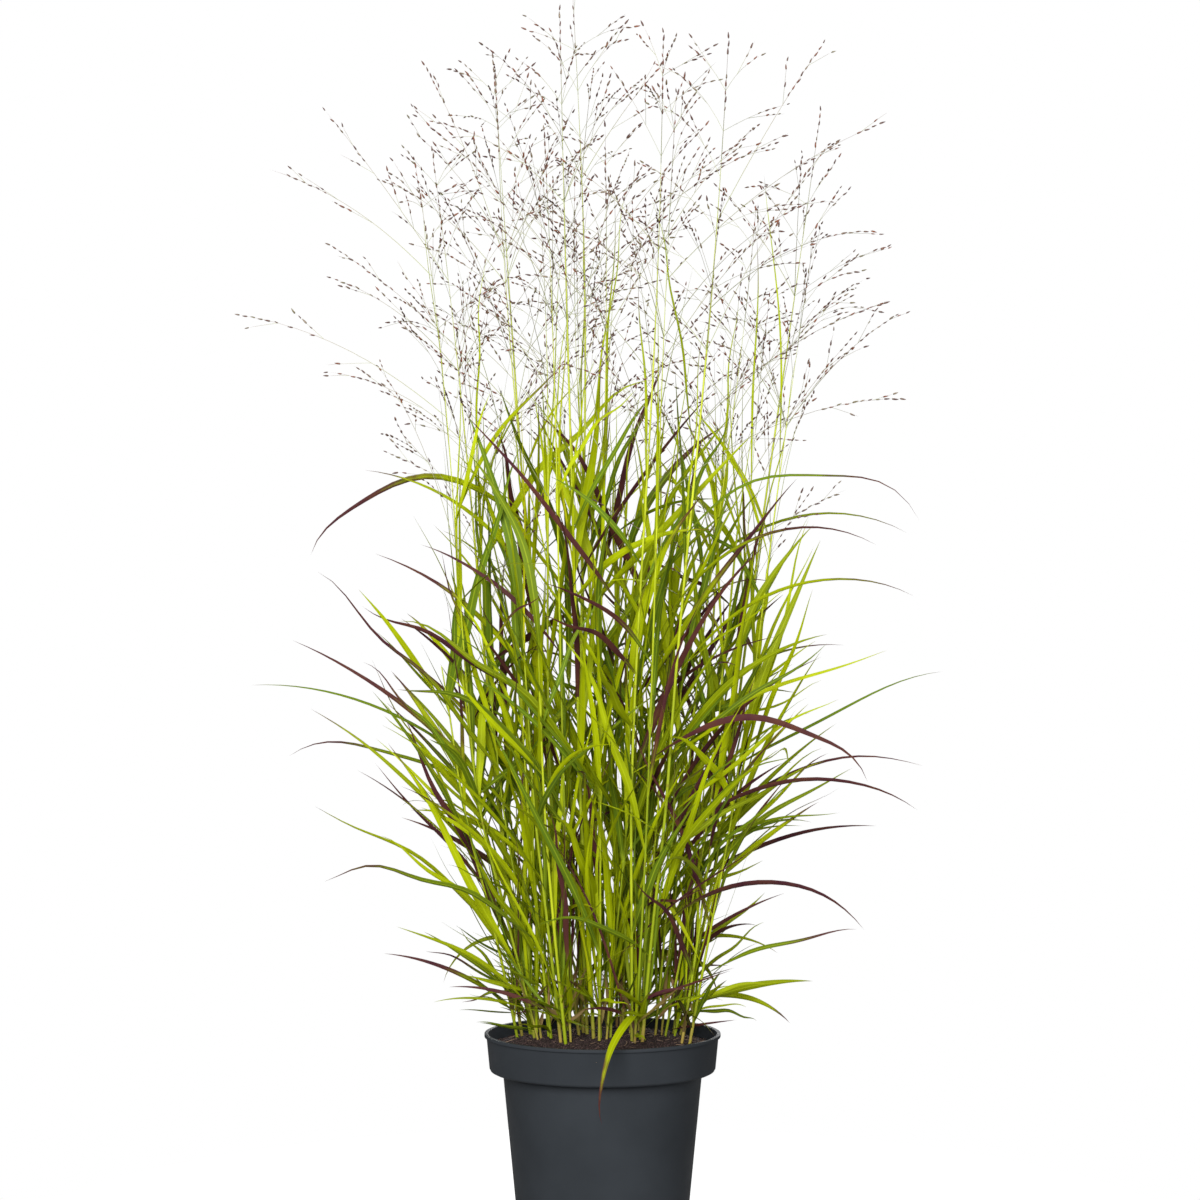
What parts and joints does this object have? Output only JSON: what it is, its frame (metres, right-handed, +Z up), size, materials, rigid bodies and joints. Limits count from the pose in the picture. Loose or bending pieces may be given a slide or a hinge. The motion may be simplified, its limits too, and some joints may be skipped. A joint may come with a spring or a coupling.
{
  "type": "potted switchgrass",
  "caption": "Upright ornamental grass with narrow arching blades and open airy seed heads, growing in a round plastic nursery pot filled with soil.",
  "frame": {"origin": "middle of the pot's flat base, at the height of what it stands on", "axes": "+Z up along the pot's axis, -Y towards the viewer, +X to the viewer's right"},
  "size_m": [0.709, 0.5028, 1.2338],
  "materials": {
    "pot_plastic": "satin",
    "soil": "matte",
    "grass_flowering": "satin",
    "grass_leafy": "satin"
  },
  "bodies": {
    "root": {"flowering_shoot_01": "grass_flowering", "flowering_shoot_03": "grass_flowering", "flowering_shoot_06": "grass_flowering", "flowering_shoot_09": "grass_flowering", "flowering_shoot_11": "grass_flowering", "flowering_shoot_12": "grass_flowering", "flowering_shoot_18": "grass_flowering", "flowering_shoot_22": "grass_flowering", "flowering_shoot_24": "grass_flowering", "flowering_shoot_25": "grass_flowering", "flowering_shoot_29": "grass_flowering", "flowering_shoot_30": "grass_flowering", "flowering_shoot_31": "grass_flowering", "flowering_shoot_33": "grass_flowering", "flowering_shoot_36": "grass_flowering", "flowering_shoot_39": "grass_flowering", "flowering_shoot_40": "grass_flowering", "flowering_shoot_42": "grass_flowering", "flowering_shoot_44": "grass_flowering", "flowering_shoot_50": "grass_flowering", "leafy_shoot_02": "grass_leafy", "leafy_shoot_04": "grass_leafy", "leafy_shoot_05": "grass_leafy", "leafy_shoot_07": "grass_leafy", "leafy_shoot_08": "grass_leafy", "leafy_shoot_10": "grass_leafy", "leafy_shoot_13": "grass_leafy", "leafy_shoot_14": "grass_leafy", "leafy_shoot_15": "grass_leafy", "leafy_shoot_16": "grass_leafy", "leafy_shoot_17": "grass_leafy", "leafy_shoot_19": "grass_leafy", "leafy_shoot_20": "grass_leafy", "leafy_shoot_21": "grass_leafy", "leafy_shoot_23": "grass_leafy", "leafy_shoot_26": "grass_leafy", "leafy_shoot_27": "grass_leafy", "leafy_shoot_28": "grass_leafy", "leafy_shoot_32": "grass_leafy", "leafy_shoot_34": "grass_leafy", "leafy_shoot_35": "grass_leafy", "leafy_shoot_37": "grass_leafy", "leafy_shoot_38": "grass_leafy", "leafy_shoot_41": "grass_leafy", "leafy_shoot_43": "grass_leafy", "leafy_shoot_45": "grass_leafy", "leafy_shoot_46": "grass_leafy", "leafy_shoot_47": "grass_leafy", "leafy_shoot_48": "grass_leafy", "leafy_shoot_49": "grass_leafy", "pot": "pot_plastic", "soil": "soil"}
  },
  "joints": []
}
